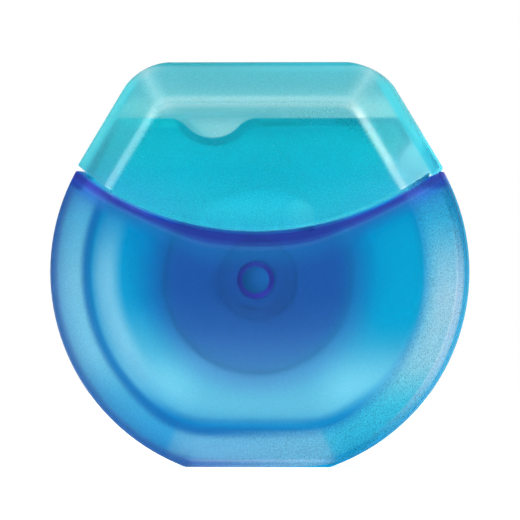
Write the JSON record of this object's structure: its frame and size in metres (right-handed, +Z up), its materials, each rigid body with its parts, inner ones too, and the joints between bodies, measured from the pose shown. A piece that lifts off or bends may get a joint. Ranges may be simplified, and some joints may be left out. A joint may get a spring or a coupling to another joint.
{
  "type": "dental floss dispenser",
  "caption": "Pocket dental floss dispenser: round flat translucent body on a short flat foot, hinged clear cap over a scooped neck, floss roll on a hub inside.",
  "frame": {"origin": "middle of the flat foot, at its underside", "axes": "+Z up from the foot to the cap's top, +Y to the back, +X to the hinge end of the cap; the face with the bevel seen in the picture looks along -Y"},
  "size_m": [0.0534, 0.016, 0.0519],
  "materials": {
    "shell_blue": "frosted translucent blue moulding",
    "cap_turquoise": "frosted translucent turquoise moulding",
    "steel": "stamped stainless strip",
    "bobbin_white": "plain white moulding",
    "floss_white": "waxed filament"
  },
  "bodies": {
    "body": {"front_shell": "shell_blue", "back_shell": "shell_blue", "cutter": "steel", "floss_lead": "floss_white"},
    "lid": {"cap": "cap_turquoise"},
    "roll": {"bobbin": "bobbin_white", "floss_pack": "floss_white", "floss_winding": "floss_white"}
  },
  "joints": [
    {"name": "cap_hinge", "type": "hinge", "parent": "body", "child": "lid", "pos_m": [0.02115, 0, 0.03909], "axis": [0, 1, 0], "range_deg": [0, 105]},
    {"name": "roll_spin", "type": "hinge", "parent": "body", "child": "roll", "pos_m": [0, 0, 0.024], "axis": [0, 1, 0], "continuous": true}
  ]
}
